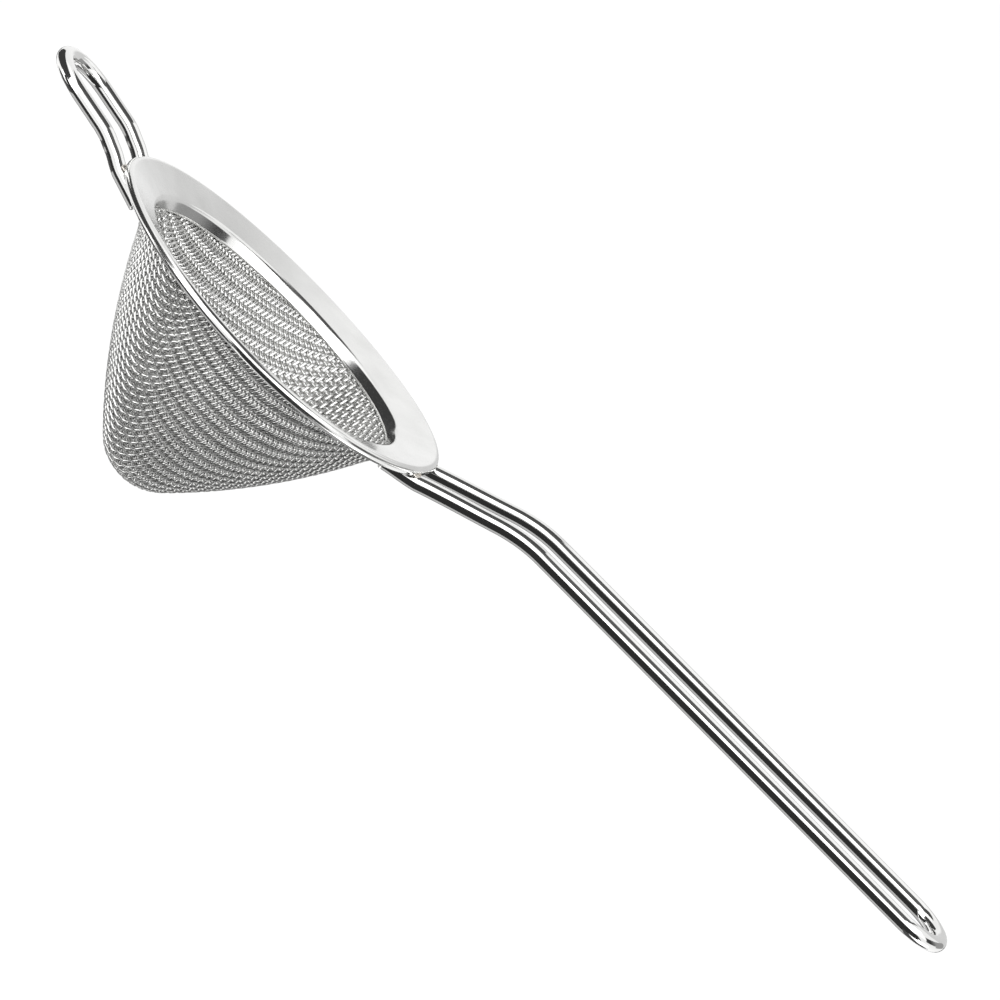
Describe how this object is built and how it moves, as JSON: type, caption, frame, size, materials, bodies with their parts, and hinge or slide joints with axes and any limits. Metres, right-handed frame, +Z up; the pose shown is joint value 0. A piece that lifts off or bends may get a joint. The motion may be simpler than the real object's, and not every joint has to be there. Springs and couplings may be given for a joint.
{
  "type": "conical cocktail strainer",
  "caption": "Conical wire-cloth cocktail strainer with a flanged round rim, a long looped rod handle on one side and a short looped rod rest on the other.",
  "frame": {"origin": "middle of the mouth, level with the top of the rim", "axes": "+Z up out of the mouth, +X along the handle, so the cone hangs down along -Z and the rest points along -X"},
  "size_m": [0.2325, 0.0808, 0.0536],
  "materials": {
    "rim_sheet": "satin stainless sheet",
    "wire_cloth": "bright drawn stainless wire, woven",
    "polished_rod": "polished stainless rod",
    "weld_metal": "bare spot weld, slightly heat tinted"
  },
  "bodies": {
    "root": {"rim_flange": "rim_sheet", "mesh_clamp_ring": "rim_sheet", "mesh_cone": "wire_cloth", "handle_rod": "polished_rod", "rest_rod": "polished_rod", "weld_handle_right": "weld_metal", "weld_handle_left": "weld_metal", "weld_rest_right": "weld_metal", "weld_rest_left": "weld_metal"}
  },
  "joints": []
}
